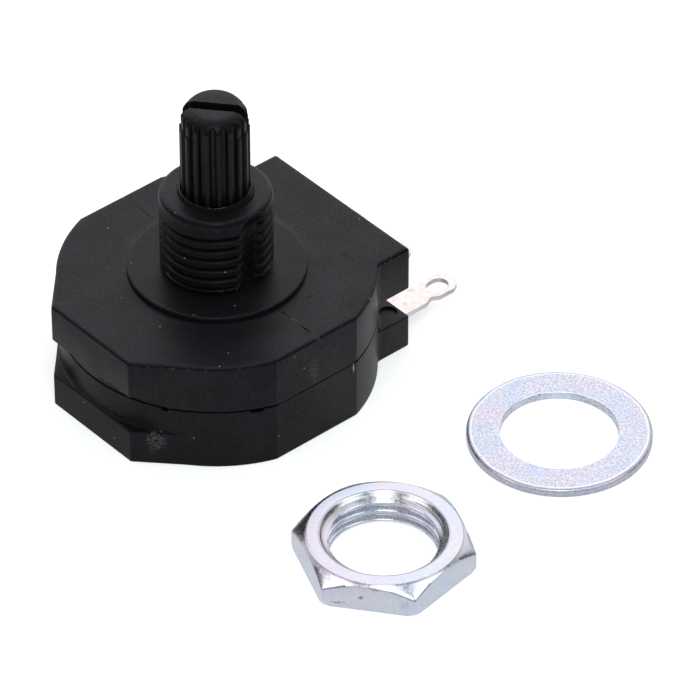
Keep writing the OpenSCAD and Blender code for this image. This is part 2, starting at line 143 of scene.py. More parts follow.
# %% [markdown]
# ## Nodes for the finishes
# Each finish starts from one shader. One helper adds a node, sets its properties and
# fills its sockets, either with a value or with a link. Colours are written as sRGB
# hex values, as a painter would pick them, and turned to linear by one function.
# Patterns use the piece's own coordinates in metres, so a pattern of so many
# millimetres has the scale 1000 / millimetres.


# %% Colour and node helpers
NOISE, RANGE, MATH, VECTOR, MIX, CELLS = (
    "ShaderNodeTexNoise", "ShaderNodeMapRange", "ShaderNodeMath", "ShaderNodeVectorMath", "ShaderNodeMix",
    "ShaderNodeTexVoronoi")


def linear(hex_colour):
    """sRGB hex to linear: v / 12.92 in the darks, else ((v + 0.055) / 1.055) ** 2.4."""
    v = np.array([int(hex_colour[k:k + 2], 16) / 255 for k in (1, 3, 5)])
    lin = np.where(v <= 0.04045, v / 12.92, ((v + 0.055) / 1.055) ** 2.4)
    return (*lin.tolist(), 1.0)


def add_node(tree, kind, sockets=None, **settings):
    """Adds a node. A socket given a node or an output is linked to it, any other value is set."""
    node = tree.nodes.new(kind)
    for key, value in settings.items():
        setattr(node, key, value)
    for key, value in (sockets or {}).items():
        if isinstance(value, bpy.types.Node):
            value = value.outputs[0]
        if isinstance(value, bpy.types.NodeSocket):
            tree.links.new(value, node.inputs[key])
        else:
            node.inputs[key].default_value = value
    return node


def new_finish(name, colour, roughness, metallic=0.0, ior=1.5, specular=0.5, tint=(1, 1, 1, 1)):
    """A material with its node tree, its shader and the piece's own coordinates."""
    material = bpy.data.materials.new(name)
    material.use_nodes = True
    tree = material.node_tree
    shader = tree.nodes["Principled BSDF"]
    shader.inputs["Base Color"].default_value = linear(colour)
    shader.inputs["Roughness"].default_value = roughness
    shader.inputs["Metallic"].default_value = metallic
    shader.inputs["IOR"].default_value = ior
    shader.inputs["Specular IOR Level"].default_value = specular
    shader.inputs["Specular Tint"].default_value = tint
    return material, tree, shader, add_node(tree, "ShaderNodeTexCoord").outputs["Object"]


# %% [markdown]
# ## Moulded housing
# The housing is a glass-filled moulding compound, pressed in a spark-eroded mould.
# That gives a fine, even grain, almost no gloss, and a black that is a little purple
# on the lit roof and bluer on the walls. A few pale grains of filler and dust show on
# it, most of them along the rim of the roof. Cells of a Voronoi pattern, of which only
# some are chosen, stand for those; the dense band of them along the rim is also a
# painted highlight line. Marks of the mould and of handling are soft patches at their
# own places: a ragged gate scar, a pitted spot, scratches and the line where the
# compound met behind the bush. Two patches are painted light instead: a pale line
# along the top of the lug's front face is a painted highlight, and a black patch over
# the strip on the bush is painted shade.


# %% Specks and patches
def specks(tree, coords, cell_mm, size_mm, share):
    """One speck in some cells: near the cell's point, and only where its random value is low."""
    cells = add_node(tree, CELLS, {"Vector": coords, "Scale": 1000.0 / cell_mm})
    reach = size_mm / cell_mm
    near = add_node(tree, RANGE, {0: cells.outputs["Distance"], 1: reach, 2: 0.4 * reach})
    random = add_node(tree, "ShaderNodeSeparateColor", {"Color": cells.outputs["Color"]})
    chosen = add_node(tree, MATH, {0: random, 1: share}, operation="LESS_THAN")
    return add_node(tree, MATH, {0: near, 1: chosen}, operation="MULTIPLY")


def patch(tree, coords, centre, reach, frayed, lump_mm):
    """1 in an ellipsoid round a centre (bench mm), falling to 0 at its rim, frayed by noise."""
    offset = add_node(tree, VECTOR, {0: coords, 1: tuple(to_frame(centre))}, operation="SUBTRACT")
    shares = add_node(tree, VECTOR, {0: offset, 1: tuple(r / 1000 for r in reach)}, operation="DIVIDE")
    away = add_node(tree, VECTOR, {0: shares}, operation="LENGTH").outputs["Value"]
    lumps = add_node(tree, NOISE, {"Vector": coords, "Scale": 1000 / lump_mm, "Detail": 2.0})
    fray = add_node(tree, RANGE, {0: lumps, 1: 0.35, 2: 0.65, 3: -frayed, 4: frayed})
    edge = add_node(tree, MATH, {0: away, 1: fray}, operation="ADD")
    return add_node(tree, RANGE, {0: edge, 1: 1.0, 2: 0.55})


# %% Housing finish
def moulded(name, colour, lighter, specular, roughness=0.4, speck_share=0.4, dust_and_highlight_z=None, marks=()):
    """Moulding compound: clouds, a fine grain in colour and gloss, pale specks, a speck band partly painted
    highlight, marks.
    """
    tint = (0.93, 0.87, 1.0, 1)
    material, tree, shader, coords = new_finish(name, colour, roughness, specular=specular, tint=tint)
    clouds = add_node(tree, NOISE, {"Vector": coords, "Scale": 1000 / 4.0, "Detail": 3.0})
    grains = add_node(tree, NOISE, {"Vector": coords, "Scale": 1000 / 0.2, "Detail": 2.0})
    mixed = add_node(tree, MIX, {0: 0.65, 2: clouds, 3: grains})
    shade = add_node(tree, RANGE, {0: mixed, 1: 0.4, 2: 0.6})
    gloss = add_node(tree, RANGE, {0: mixed, 1: 0.4, 2: 0.6, 3: specular * 0.82, 4: specular * 1.18})
    base = add_node(tree, MIX, {0: shade, 6: linear(colour), 7: linear(lighter)}, data_type="RGBA").outputs[2]
    for cell, size, share, tone in ((1.3, 0.09, speck_share, "#8a857f"), (0.6, 0.07, 0.2, "#2b282b")):
        dust = specks(tree, coords, cell, size, share)
        base = add_node(tree, MIX, {0: dust, 6: base, 7: linear(tone)}, data_type="RGBA").outputs[2]
    # Pale specks in a band at one height round the rim of the roof: dust, and also a painted highlight line
    # along that rim.
    if dust_and_highlight_z is not None:
        height = add_node(tree, "ShaderNodeSeparateXYZ", {0: coords}).outputs[2]
        off = add_node(tree, MATH, {0: height, 1: (dust_and_highlight_z - FACE_Z) / 1000}, operation="SUBTRACT")
        off = add_node(tree, MATH, {0: off}, operation="ABSOLUTE")
        band = add_node(tree, RANGE, {0: off, 1: 0.00016, 2: 0.0001})
        rim_dust_and_highlight = specks(tree, coords, 0.34, 0.08, 0.75)
        rim_dust_and_highlight = add_node(tree, MATH, {0: rim_dust_and_highlight, 1: band}, operation="MULTIPLY")
        base = add_node(tree, MIX, {0: rim_dust_and_highlight, 6: base, 7: linear("#4d4646")}, data_type="RGBA").outputs[2]
    # A few marks are painted light: one painted highlight on the cover and one painted shade on the bush.
    for centre, reach, frayed, lump, tone, share in marks:
        spot = patch(tree, coords, centre, reach, frayed, lump)
        spot = add_node(tree, MATH, {0: spot, 1: share}, operation="MULTIPLY")
        base = add_node(tree, MIX, {0: spot, 6: base, 7: linear(tone)}, data_type="RGBA").outputs[2]
        gloss = add_node(tree, MIX, {0: spot, 2: gloss, 3: 0.02 if tone == "#000000" else specular})
    tree.links.new(gloss.outputs[0], shader.inputs["Specular IOR Level"])
    tree.links.new(base, shader.inputs["Base Color"])
    bump = add_node(tree, "ShaderNodeBump", {"Height": grains, "Distance": 0.000006, "Strength": 0.5})
    tree.links.new(bump.outputs[0], shader.inputs["Normal"])
    return material


# %% The marks, some of them painted light, each with its centre, reach, fraying, lump size, tone and share
COVER_MARKS_AND_PAINTED_HIGHLIGHT = [
    ((8.7, 0.2, 10.8), (0.6, 0.11, 0.2), 0.5, 0.3, "#000000", 0.9),
    ((9.9, 0.3, 10.8), (0.5, 0.12, 0.2), 0.6, 0.3, "#3a3034", 0.8),
    ((11.5, 0.2, 10.8), (0.8, 0.11, 0.2), 0.5, 0.3, "#000000", 0.9),
    ((12.85, 0.2, 10.7), (0.35, 0.22, 0.3), 0.5, 0.3, "#3a3539", 0.7),
    ((-10.1, 0.2, 10.8), (1.4, 0.07, 0.2), 0.3, 0.3, "#000000", 0.6),
    ((6.3, 9.5, 10.8), (0.9, 0.45, 0.2), 0.6, 0.5, "#000000", 0.25),
    ((8.4, 3.4, 10.8), (0.3, 0.3, 0.2), 0.5, 0.3, "#000000", 0.45),
    # Painted highlight: a pale line along the top of the lug's front face, just under the rounded rim.
    ((1.3, -14.15, 10.34), (3.2, 0.1, 0.06), 0.2, 0.4, "#2f2c31", 0.5),
    ((13.1, -0.2, 7.45), (0.15, 0.45, 1.25), 0.8, 0.18, "#3c3a3d", 0.55),
]
CASE_MARKS = [
    ((6.77, -12.62, 2.52), (0.75, 0.75, 0.8), 0.7, 0.2, "#433e42", 0.9),
    ((6.77, -12.62, 2.55), (0.2, 0.2, 0.2), 0.5, 0.15, "#000000", 0.9),
    ((6.5, -12.85, 1.5), (0.25, 0.25, 0.55), 0.7, 0.2, "#2e2b2e", 0.5),
    ((13.1, 4.15, 5.5), (0.15, 0.075, 0.45), 0.3, 0.15, "#bdb9bc", 0.85),
]
# Painted shade: a black, almost glossless patch over the shallow strip on the bush, so its channel looks as
# dark as an unlit hollow.
BUSH_PAINTED_SHADE = [
    ((4.75, 0.1, 15.0), (0.9, 1.15, 4.6), 0.1, 0.5, "#000000", 0.5),
]
cover_black = moulded("moulded_phenolic_cover", "#0c0b0e", "#131115", 0.195, dust_and_highlight_z=10.52, marks=COVER_MARKS_AND_PAINTED_HIGHLIGHT)
bush_black = moulded("moulded_phenolic_bush", "#0c0b0e", "#131115", 0.22, speck_share=0.5, marks=BUSH_PAINTED_SHADE)
case_black = moulded("moulded_phenolic_case", "#0b0b0e", "#111115", 0.2, 0.42, marks=CASE_MARKS)
print("housing finishes:", cover_black.name, bush_black.name, case_black.name)

# %% [markdown]
# ## The outline of the housing
# Seen from above, the housing is a circle with two side flats, a lug with three faces
# at the front, and a straight block at the back. Each face is a line at a distance
# from the axis, so its polar radius is that distance divided by the cosine of the
# angle to it. Shapes are joined by the larger radius and cut by the smaller one, with
# a small rounding, and the same formula with smaller distances gives the inner rings
# of the rounded edges.


# %% Polar outlines
def soft_min(a, b, k):
    """The smaller of a and b, less k/4 times the square of how close they are."""
    near = np.clip(k - np.abs(a - b), 0.0, None) / k
    return np.minimum(a, b) - near * near * k / 4


def face(theta, direction, distance):
    """Polar radius of a straight face: its distance divided by the cosine of the angle to it."""
    c = np.cos(np.radians(theta - direction))
    return np.where(c > 0.08, distance / np.maximum(c, 0.08), 99.0)


def wall_radius(theta, inset=0.0):
    """Round wall cut by the two side flats."""
    r = soft_min(np.full(theta.shape, BODY_R - inset), face(theta, 0, FLAT_X - inset), 0.03)
    return soft_min(r, face(theta, 180, FLAT_X - inset), 0.03)


def full_radius(theta, inset=0.0):
    """Round wall joined with the lug and the block."""
    right, left = (face(theta, way, LUG_FACE_R - inset) for way in (LUG_DIR, 180 - LUG_DIR))
    lug = soft_min(right, left, 0.02)
    lug = soft_min(lug, face(theta, -90, LUG_Y - inset), 0.09)
    lug = np.where(np.abs(theta + 90) < 90 + LUG_DIR, lug, 0.0)
    block = soft_min(face(theta, 0, BLOCK_X - inset), face(theta, 180, BLOCK_X - inset), 0.02)
    block = soft_min(block, face(theta, 90, BLOCK_Y - inset), 0.35)
    block = np.where(np.abs(theta - 90) < 60, block, 0.0)
    wall = np.maximum(wall_radius(theta, inset), lug)
    return -soft_min(-wall, -block, 0.3)


def angles(clusters, step=1.0):
    """Angles from -180 to 180: an even grid, and finer ones round each (centre, reach)."""
    fine = [np.arange(c - w, c + w, 0.08) for c, w in clusters]
    every = np.concatenate([np.arange(-180, 180, step), *fine])
    every = (every + 180) % 360 - 180
    return np.unique(np.round(every, 3))


def smooth(x, low, high):
    """Smooth step from 0 at low to 1 at high, 3t^2 - 2t^3 between; low may be the larger."""
    t = np.clip((x - low) / (high - low), 0, 1)
    return t * t * (3 - 2 * t)


NICKS = [(-59, 0.6), (-26, 1.1), (-121, 0.6), (-154, 1.1)]
nick_edges = [(a + s * math.degrees(w / 2 / BODY_R), 0.3) for a, w in NICKS for s in (-1, 1)]
mirror_pairs = [(18.9, 0.9), (-18.9, 0.9), (-70, 1.2), (50.0, 1.8), (58.0, 1.8)]
corners = mirror_pairs + [(180 - a, w) for a, w in mirror_pairs]
around = angles(corners + nick_edges)
print("columns round the housing:", len(around))

# %% [markdown]
# ## Cover
# The cover is one moulding: a wall, a roof with a rounded rim, and a raised round boss
# that the panel rests on. Its wall stops above the lug and the block of the case, and
# a rebate at its foot makes the dark parting line. It could be modelled by cutting
# boxes, but a closed chain of rings gives every rounding, and it stays a thin shell.


# %% The cover as a chain of rings
def arc(count, radius):
    """Quarter circle from upright to level: insets and rises."""
    a = np.radians(np.linspace(0, 90, count))
    return list(zip(radius * (1 - np.cos(a)), radius * np.sin(a)))


wall, full = wall_radius(around), full_radius(around)
proud = full - wall
at_back = np.sin(np.radians(around)) > 0
under = SEAM + np.where(at_back, 0.5, 0.25 + 0.95 * smooth(proud, 0.2, 0.45))
lip = np.minimum(0.09, proud / 2)
skirt = np.where(11.6 * np.sin(np.radians(around)) > 6.0, SEAM, 3.05)
rebate = 0.04 + 0.12 * smooth(wall, BODY_R - 0.12, BODY_R - 0.02)

cover_rings = [ring(around, r, z) for r, z in (
    (4.2, FACE_Z), (4.2, BORE_END), (12.0, BORE_END), (CAVITY_R, 9.2), (CAVITY_R, 6.9), (LEDGE_R, 6.9),
    (LEDGE_R, skirt), (12.05, skirt), (12.05, SEAM), (wall - 0.22, SEAM), (wall - 0.22, SEAM + rebate),
    (wall - 0.04, SEAM + rebate), (wall, SEAM + rebate + 0.04), (wall, under), (full - lip, under),
    (full - lip * 0.3, under + lip * 0.3), (full, under + lip), (full, 9.5))]
for inset, rise in arc(8, ROOF_EDGE):
    cover_rings.append(ring(around, full_radius(around, inset), COVER_TOP - ROOF_EDGE + rise))
rim, boss_foot = full_radius(around, ROOF_EDGE), 7.86
cover_rings += [ring(around, rim + (boss_foot - rim) * t, COVER_TOP) for t in (0.06, 0.2, 0.5, 0.8, 1.0)]
cover_rings += [ring(around, r, COVER_TOP + z) for r, z in ((7.81, 0.015), (BOSS_R, 0.05), (BOSS_R, 0.3))]
cover_rings += [ring(around, BOSS_R - d, FACE_Z - BOSS_EDGE + rise) for d, rise in arc(6, BOSS_EDGE)[1:]]
cover_rings += [ring(around, r, FACE_Z) for r in (7.3, 6.4, 5.4)]
cover = from_rings("cover_moulding", cover_rings)
dress(cover, "housing", "cover_moulding", cover_black, "top_cover")

# %% [markdown]
# ## Threaded bush
# The bush is part of the cover. Its thread is moulded, not cut: the mould halves part
# at two sides of it, and there each groove runs out into a smooth wall as wide as the
# crests. A shallow strip crosses the thread at the front. It leans a few degrees and
# fades towards the mouth. One height field over the cylinder gives all that. The height
# is 1 at the crests and 0 at the root. Each crest is steep below and slopes gently
# above, and climbs one pitch per turn. The foot starts where the bore does, just above
# the flange of the shaft.

# %% The bush as a radius over angle and height
PITCH, ROOT_R = 1.04, 4.3
MOUTH_WIDE, MOUTH_DEEP = 0.55, 0.62
STRIP_FOOT, STRIP_HEAD, STRIP_HALF, STRIP_RAMP = -3.0, 3.5, 12.0, 6.0
FACING = -41.04


def bush_radius(theta, z):
    """Root radius plus height times depth; the mouth is rounded by a quarter ellipse."""
    half_turn = (theta - FACING + 90) % 180 - 90
    climb = z - FACE_Z - PITCH * half_turn / 360
    above_valley = (climb - 0.85) / PITCH % 1.0
    crest = np.minimum(smooth(above_valley, 0.03, 0.2), smooth(above_valley, 1.0, 0.65))
    grooved = (1 - smooth(np.abs(half_turn - 6), 53, 85)) * (1 - smooth(climb, 6.35, 6.7))
    strip_at = STRIP_FOOT + (STRIP_HEAD - STRIP_FOOT) * (z - FACE_Z) / (BUSH_TOP - FACE_Z)
    strip = 1 - smooth(np.abs(theta - strip_at), STRIP_HALF - STRIP_RAMP, STRIP_HALF + STRIP_RAMP)
    strip = strip * (1 - 0.55 * smooth(z, BUSH_TOP - 1.5, BUSH_TOP - 0.3))
    foot = smooth(z - FACE_Z - 0.2 * np.sin(np.radians(theta - FACING)), 0.3, 0.58)
    height = (1 - grooved * (1 - crest)) * (1 - strip) * foot
    up = np.clip((z - (BUSH_TOP - MOUTH_DEEP)) / MOUTH_DEEP, 0, 1)
    mouth = BUSH_R - MOUTH_WIDE * (1 - np.sqrt(1 - up * up))
    return np.minimum(ROOT_R + (BUSH_R - ROOT_R) * height, mouth)


bush_angles = np.arange(-180, 180, 1.0)
mouth_heights = BUSH_TOP - MOUTH_DEEP + MOUTH_DEEP * np.sin(np.radians(np.linspace(6, 90, 12)))
bush_heights = np.concatenate([np.linspace(FACE_Z - 0.05, BUSH_TOP - 0.7, 190), mouth_heights])
bush_rings = [ring(bush_angles, r, z) for r, z in ((BORE_R, BORE_END), (4.25, BORE_END), (4.25, 11.3))]
bush_rings += [ring(bush_angles, bush_radius(bush_angles, z), z) for z in bush_heights]
bush_rings += [ring(bush_angles, r, z) for r, z in (
    (3.8, BUSH_TOP), (3.26, BUSH_TOP), (3.2, BUSH_TOP - 0.06), (BORE_R, BUSH_TOP - 0.3), (BORE_R, 14.0))]
bush = from_rings("threaded_bush", bush_rings, sharp=40)
dress(bush, "housing", "cover_moulding", bush_black, "top_cover")

# %% [markdown]
# ## Bottom case
# The case carries the foot under the lug and the block for the terminals. It is an
# open tub, so its chain of rings runs from a pole in the bearing, up the cavity, over
# the rim with its four nicks, down the wall and out over a hollow fillet to the foot,
# and closes at a pole under the floor.

# %% The case as a chain of rings
nick = np.zeros(around.shape)
for centre, width in NICKS:
    half = math.degrees(width / 2 / BODY_R)
    nick = np.maximum(nick, 1 - smooth(np.abs(around - centre), half - 0.12, half + 0.12))
rim_z = SEAM - 0.25 * nick
hollow = np.minimum(0.45, proud * 0.8)
soft = np.minimum(0.16, proud * 0.4)
fillet = np.radians(np.linspace(0, 90, 7))
case_rings = [ring(around, r, z) for r, z in (
    (0.0, 0.8), (1.55, 0.8), (1.55, 3.25), (2.7, 3.25), (2.7, 1.2), (11.4, 1.2), (11.4, 2.0),
    (CAVITY_R, 2.0), (CAVITY_R, SEAM), (wall - 0.5, SEAM), (wall - 0.49, rim_z), (wall - 0.05, rim_z),
    (wall, rim_z - 0.05), (wall, 4.4), (wall, FOOT_TOP + hollow))]
for a in fillet[1:]:
    case_rings.append(ring(around, wall + hollow * (1 - np.cos(a)), FOOT_TOP + hollow * (1 - np.sin(a))))
for a in fillet:
    case_rings.append(ring(around, full - soft + soft * np.sin(a), FOOT_TOP - soft + soft * np.cos(a)))
case_rings.append(ring(around, full, FOOT_EDGE))
for a in fillet[1:]:
    inset, height = FOOT_EDGE * (1 - np.cos(a)), FOOT_EDGE * (1 - np.sin(a))
    case_rings.append(ring(around, full_radius(around, inset), height))
case_rings += [ring(around, full * t, 0.0) for t in (0.9, 0.5, 0.0)]
case = from_rings("case_moulding", case_rings, closed=False)
dress(case, "housing", "case_moulding", case_black, "bottom_case")

# %% [markdown]
# ## Splined shaft
# The shaft is moulded too: a round bar with grooves that a knob's own teeth slide
# into, a slightly thinner tip, and a slot for a screwdriver. The radius is the turned
# outline, lowered in each groove. The slot is cut by a Boolean with a bar whose sides
# waver a little, as the rims of the real one do.

# %% Shaft finish and shape
shaft_black = moulded("moulded_shaft_resin", "#09090b", "#0f0f11", 0.215, 0.38, speck_share=0.12)

TEETH, GROOVE_AT, GROOVE_FLOOR = 18, -43.3, 2.6


def shaft_outline(theta, z):
    """Crest radius, a small step at the two mould seams, and an end rounded more on one side."""
    from_tip = TIP_Z - z
    off_seam = np.radians(theta - FACING)
    r = SHAFT_R - 0.16 * smooth(from_tip, 1.95, 1.8) * np.sin(off_seam) ** 2
    end = np.clip(1 - from_tip / 0.9, 0, 1)
    reach = 0.9 + 0.27 * np.cos(off_seam)
    return r - reach * (1 - (1 - end ** 1.4) ** (1 / 1.4))


def shaft_radius(theta, z):
    """Smaller of the outline and the groove, whose sides rise with distance from its floor."""
    pitch = 360.0 / TEETH
    off = np.abs((theta - GROOVE_AT + pitch / 2) % pitch - pitch / 2)
    side = np.radians(off) * 2.8 - 0.17
    floor = GROOVE_FLOOR + 6.0 * smooth(TIP_Z - z, 9.15, 9.45)
    return soft_min(shaft_outline(theta, z), floor + np.clip(side, 0, None) / 0.36, 0.1)


shaft_angles = np.arange(-180, 180, 0.8)
key = np.minimum(2.9, 2.3 / np.maximum(np.abs(np.cos(np.radians(shaft_angles - REST_TURN))), 0.1))
shaft_rings = [ring(shaft_angles, r, z) for r, z in (
    (0.0, 0.86), (1.4, 0.86), (1.5, 0.96), (1.5, 3.31), (key, 3.31), (key, FLANGE_LOW),
    (4.3, FLANGE_LOW), (FLANGE_R, 7.86), (FLANGE_R, 9.15), (4.3, FLANGE_TOP), (SHAFT_R, FLANGE_TOP),
    (SHAFT_R, 18.0))]
below_tip = np.concatenate([np.linspace(9.6, 9.0, 8), np.linspace(8.7, 2.3, 12), np.linspace(2.15, 1.65, 8),
                            np.linspace(1.5, 0.9, 4), 0.9 - 0.9 * np.sin(np.radians(np.linspace(6, 90, 15)))])
shaft_rings += [ring(shaft_angles, shaft_radius(shaft_angles, TIP_Z - d), TIP_Z - d) for d in below_tip]
shaft_rings += [ring(shaft_angles, r, TIP_Z) for r in (1.4, 0.7, 0.0)]
shaft = from_rings("splined_shaft", shaft_rings, closed=False, sharp=42)
print("shaft rings:", len(shaft_rings))


# %% The screwdriver slot
def slot_bar(width, floor_z, turn):
    """A bar along one direction: a section with a rounded floor, carried along a line."""
    along = np.linspace(-4.0, 4.0, 49)
    a = np.radians(np.linspace(180, 360, 9))
    section = [(-width / 2, TIP_Z + 2), (-width / 2 - 0.03, TIP_Z - 0.02), (-width / 2, TIP_Z - 0.12)]
    section += [(width / 2 * np.cos(v), floor_z + 0.12 + 0.12 * np.sin(v)) for v in a]
    section += [(width / 2, TIP_Z - 0.12), (width / 2 + 0.03, TIP_Z - 0.02), (width / 2, TIP_Z + 2)]
    section = np.array(section)
    waver = 0.018 * np.sin(7.1 * along) + 0.014 * np.sin(13.7 * along + 1.3) + 0.01 * np.sin(29 * along)
    x = section[None, :, 0] + waver[:, None] * np.sign(section[None, :, 0])
    y = np.broadcast_to(along[:, None], x.shape)
    z = np.broadcast_to(section[None, :, 1], x.shape)
    t = math.radians(turn)
    points = np.stack([x * math.cos(t) - y * math.sin(t), x * math.sin(t) + y * math.cos(t), z], axis=2)
    quads = ring_quads(*x.shape, closed=False).tolist()
    last = x.shape[0] - 1
    ends = [list(range(x.shape[1]))[::-1], [last * x.shape[1] + k for k in range(x.shape[1])]]
    return finish_mesh("slot_bar", points.reshape(-1, 3), quads + ends)


def cut(piece, tool, sharp):
    """Takes the tool's solid out of the piece and applies the result to its mesh."""
    modifier = piece.modifiers.new("cut", "BOOLEAN")
    modifier.operation, modifier.solver, modifier.object = "DIFFERENCE", "EXACT", tool
    tool.hide_render = True
    graph = bpy.context.evaluated_depsgraph_get()
    made = bpy.data.meshes.new_from_object(piece.evaluated_get(graph))
    piece.modifiers.clear()
    old, piece.data = piece.data, made
    bpy.data.meshes.remove(old)
    bpy.data.objects.remove(tool)
    made.shade_smooth()
    made.set_sharp_from_angle(angle=math.radians(sharp))


cut(shaft, slot_bar(0.95, TIP_Z - 2.0, REST_TURN), 42)
dress(shaft, "spindle", "shaft_moulding", shaft_black, "shaft")

# %% [markdown]
# ## Recesses on the block
# Two shallow round recesses lie on top of the terminal block, left by pins of the
# mould. A short cylinder cuts each of them.

# %% Cutting the recesses
pin_angles = np.arange(0, 360, 9.0)
for side in (-1, 1):
    spot = (side * (BLOCK_X - 1.6), BLOCK_Y - 1.05)
    pin = from_rings("mould_pin", [ring(pin_angles, r, FOOT_TOP + z, spot) for r, z in (
        (0.0, -0.25), (0.72, -0.25), (0.8, -0.18), (0.8, 0.9), (0.0, 0.9))], closed=False)
    cut(case, pin, 32)
print("case after the recesses:", len(case.data.polygons), "faces")

# %% [markdown]
# ## Solder terminals
# The terminals are stamped from thin tinned strip. The solid already has their outline
# and the oval eye, so a copy is cleaned, its flat faces are joined again, and a
# narrow bevel gives the coined rims that catch the light.

# %% Tin finish
tin, tree, shader, coords = new_finish("tin_plated_strip", "#ded8d6", 0.3, metallic=1.0)
mottle = add_node(tree, NOISE, {"Vector": coords, "Scale": 1000 / 0.45, "Detail": 3.0})
stain = add_node(tree, NOISE, {"Vector": coords, "Scale": 1000 / 1.3, "Detail": 2.0})
shade = add_node(tree, RANGE, {0: mottle, 1: 0.4, 2: 0.6})
light, dark = linear("#e0dbda"), linear("#d6cdcb")
base = add_node(tree, MIX, {0: shade, 6: light, 7: dark}, data_type="RGBA").outputs[2]
stained = add_node(tree, RANGE, {0: stain, 1: 0.56, 2: 0.68})
base = add_node(tree, MIX, {0: stained, 6: base, 7: linear("#cfc1b8")}, data_type="RGBA").outputs[2]
tree.links.new(base, shader.inputs["Base Color"])
bump = add_node(tree, "ShaderNodeBump", {"Height": mottle, "Distance": 0.00002, "Strength": 0.5})
tree.links.new(bump.outputs[0], shader.inputs["Normal"])


# %% Copies of the stamped terminals
def clean_copy(node, name, bevel_mm, segments=3):
    """A copy of a solid's mesh with doubles merged, flat faces joined and its edges bevelled."""
    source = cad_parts[node].data
    work = bmesh.new()
    points = np.empty(len(source.vertices) * 3, np.float32)
    source.vertices.foreach_get("co", points)
    mesh = bpy.data.meshes.new(name)
    mesh.from_pydata(points.reshape(-1, 3).tolist(), [], [list(p.vertices) for p in source.polygons])
    work.from_mesh(mesh)
    bmesh.ops.remove_doubles(work, verts=work.verts, dist=1e-6)
    bmesh.ops.dissolve_limit(work, angle_limit=math.radians(1.0), verts=work.verts, edges=work.edges)
    work.to_mesh(mesh)
    work.free()
    piece = bpy.data.objects.new(name, mesh)
    scene.collection.objects.link(piece)
    bevel = piece.modifiers.new("rims", "BEVEL")
    bevel.width, bevel.segments, bevel.limit_method = bevel_mm / 1000, segments, "ANGLE"
    bevel.angle_limit = math.radians(30)
    mesh.shade_smooth()
    mesh.set_sharp_from_angle(angle=math.radians(60))
    return piece


for place in ("left", "centre", "right"):
    eye = clean_copy(f"terminal_{place}", f"solder_terminal_{place}", 0.13)
    dress(eye, "housing", "tinned_strip", tin, f"terminal_{place}")

# %% [markdown]
# ## Nut
# The nut is steel with bright zinc and a clear chromate, which gives silver with a
# touch of lavender, blue and green. Its corners are cut off by a cone, so each flat
# ends in a curved line where the cone meets it. The rings follow those lines: at each
# angle the flat's own radius decides how high the cone starts. Two rings close to the
# rims of the flats keep the soft shading of the rims off the flats themselves.

# %% Nut shape
NUT_AT, NUT_TURN, NUT_FLAT, NUT_T = (28.7, -6.1), 38.0, 6.85, 2.85
NUT_HOLE, NUT_FACE, NUT_BEVEL, NUT_CORNER = 4.63, 6.6, 39.0, 0.3
WASHER_AT, WASHER_T = (26.7, 15.7), 0.8
nut_angles = angles([(NUT_TURN + 60 * k, 1.2) for k in range(6)], 1.2)
to_flat = (nut_angles - NUT_TURN) % 60 - 30
this_flat, next_flat = (NUT_FLAT / np.cos(np.radians(a)) for a in (to_flat, 60 - np.abs(to_flat)))
hexagon = soft_min(this_flat, next_flat, 0.12)
drop_top = (hexagon - NUT_FACE) * math.tan(math.radians(NUT_BEVEL))
rise_low = np.maximum(hexagon - (NUT_FLAT / math.cos(math.radians(30)) - NUT_CORNER), 0)


def nut_thread(theta, z):
    """Hole radius: crest at the hole's size, a rounded wave outwards, faded out at the foot."""
    turn = (z - 0.2) / 1.0 - theta / 360.0
    wave = smooth(np.abs(turn % 1.0 - 0.5) * 2, 0.2, 0.85)
    return NUT_HOLE + 0.45 * wave * smooth(z, 0.15, 0.35)


def nut_ring(radius, z):
    return ring(nut_angles, radius, z, NUT_AT)


nut_rings = [nut_ring(4.95, 0.0), nut_ring(4.85, 0.1)]
for z in np.linspace(0.15, 2.5, 58):
    mouth_cone = NUT_HOLE + (z - 2.15) * 1.5
    nut_rings.append(nut_ring(np.maximum(nut_thread(nut_angles, z), mouth_cone), z))
nut_rings += [nut_ring(r, NUT_T - z) for r, z in (
    (5.26, 0.24), (5.34, 0.12), (5.41, 0.035), (5.47, 0.01), (5.55, 0.0), (6.0, 0.0), (6.4, 0.0),
    (6.5, 0.004), (6.58, 0.03))]
slope = np.array([0.12, 0.5, 0.9])
nut_rings += [nut_ring(NUT_FACE + (hexagon - NUT_FACE) * t, NUT_T - 0.03 - drop_top * t) for t in slope]
nut_rings += [nut_ring(hexagon - 0.035, NUT_T - 0.06 - drop_top), nut_ring(hexagon, NUT_T - 0.13 - drop_top)]
nut_rings += [nut_ring(hexagon, NUT_T - 0.16 - drop_top), nut_ring(hexagon, 0.1 + rise_low)]
nut_rings += [nut_ring(hexagon, 0.07 + rise_low), nut_ring(hexagon - 0.04, 0.02 + rise_low)]
nut_rings.append(nut_ring(hexagon - 0.06 - rise_low * 0.5, rise_low * 0.5))
nut_rings.append(nut_ring(hexagon - 0.08 - rise_low, 0.0))
nut_rings += [nut_ring(6.4, 0.0), nut_ring(5.8, 0.0)]
nut = from_rings("zinc_hex_nut", nut_rings, sharp=38)
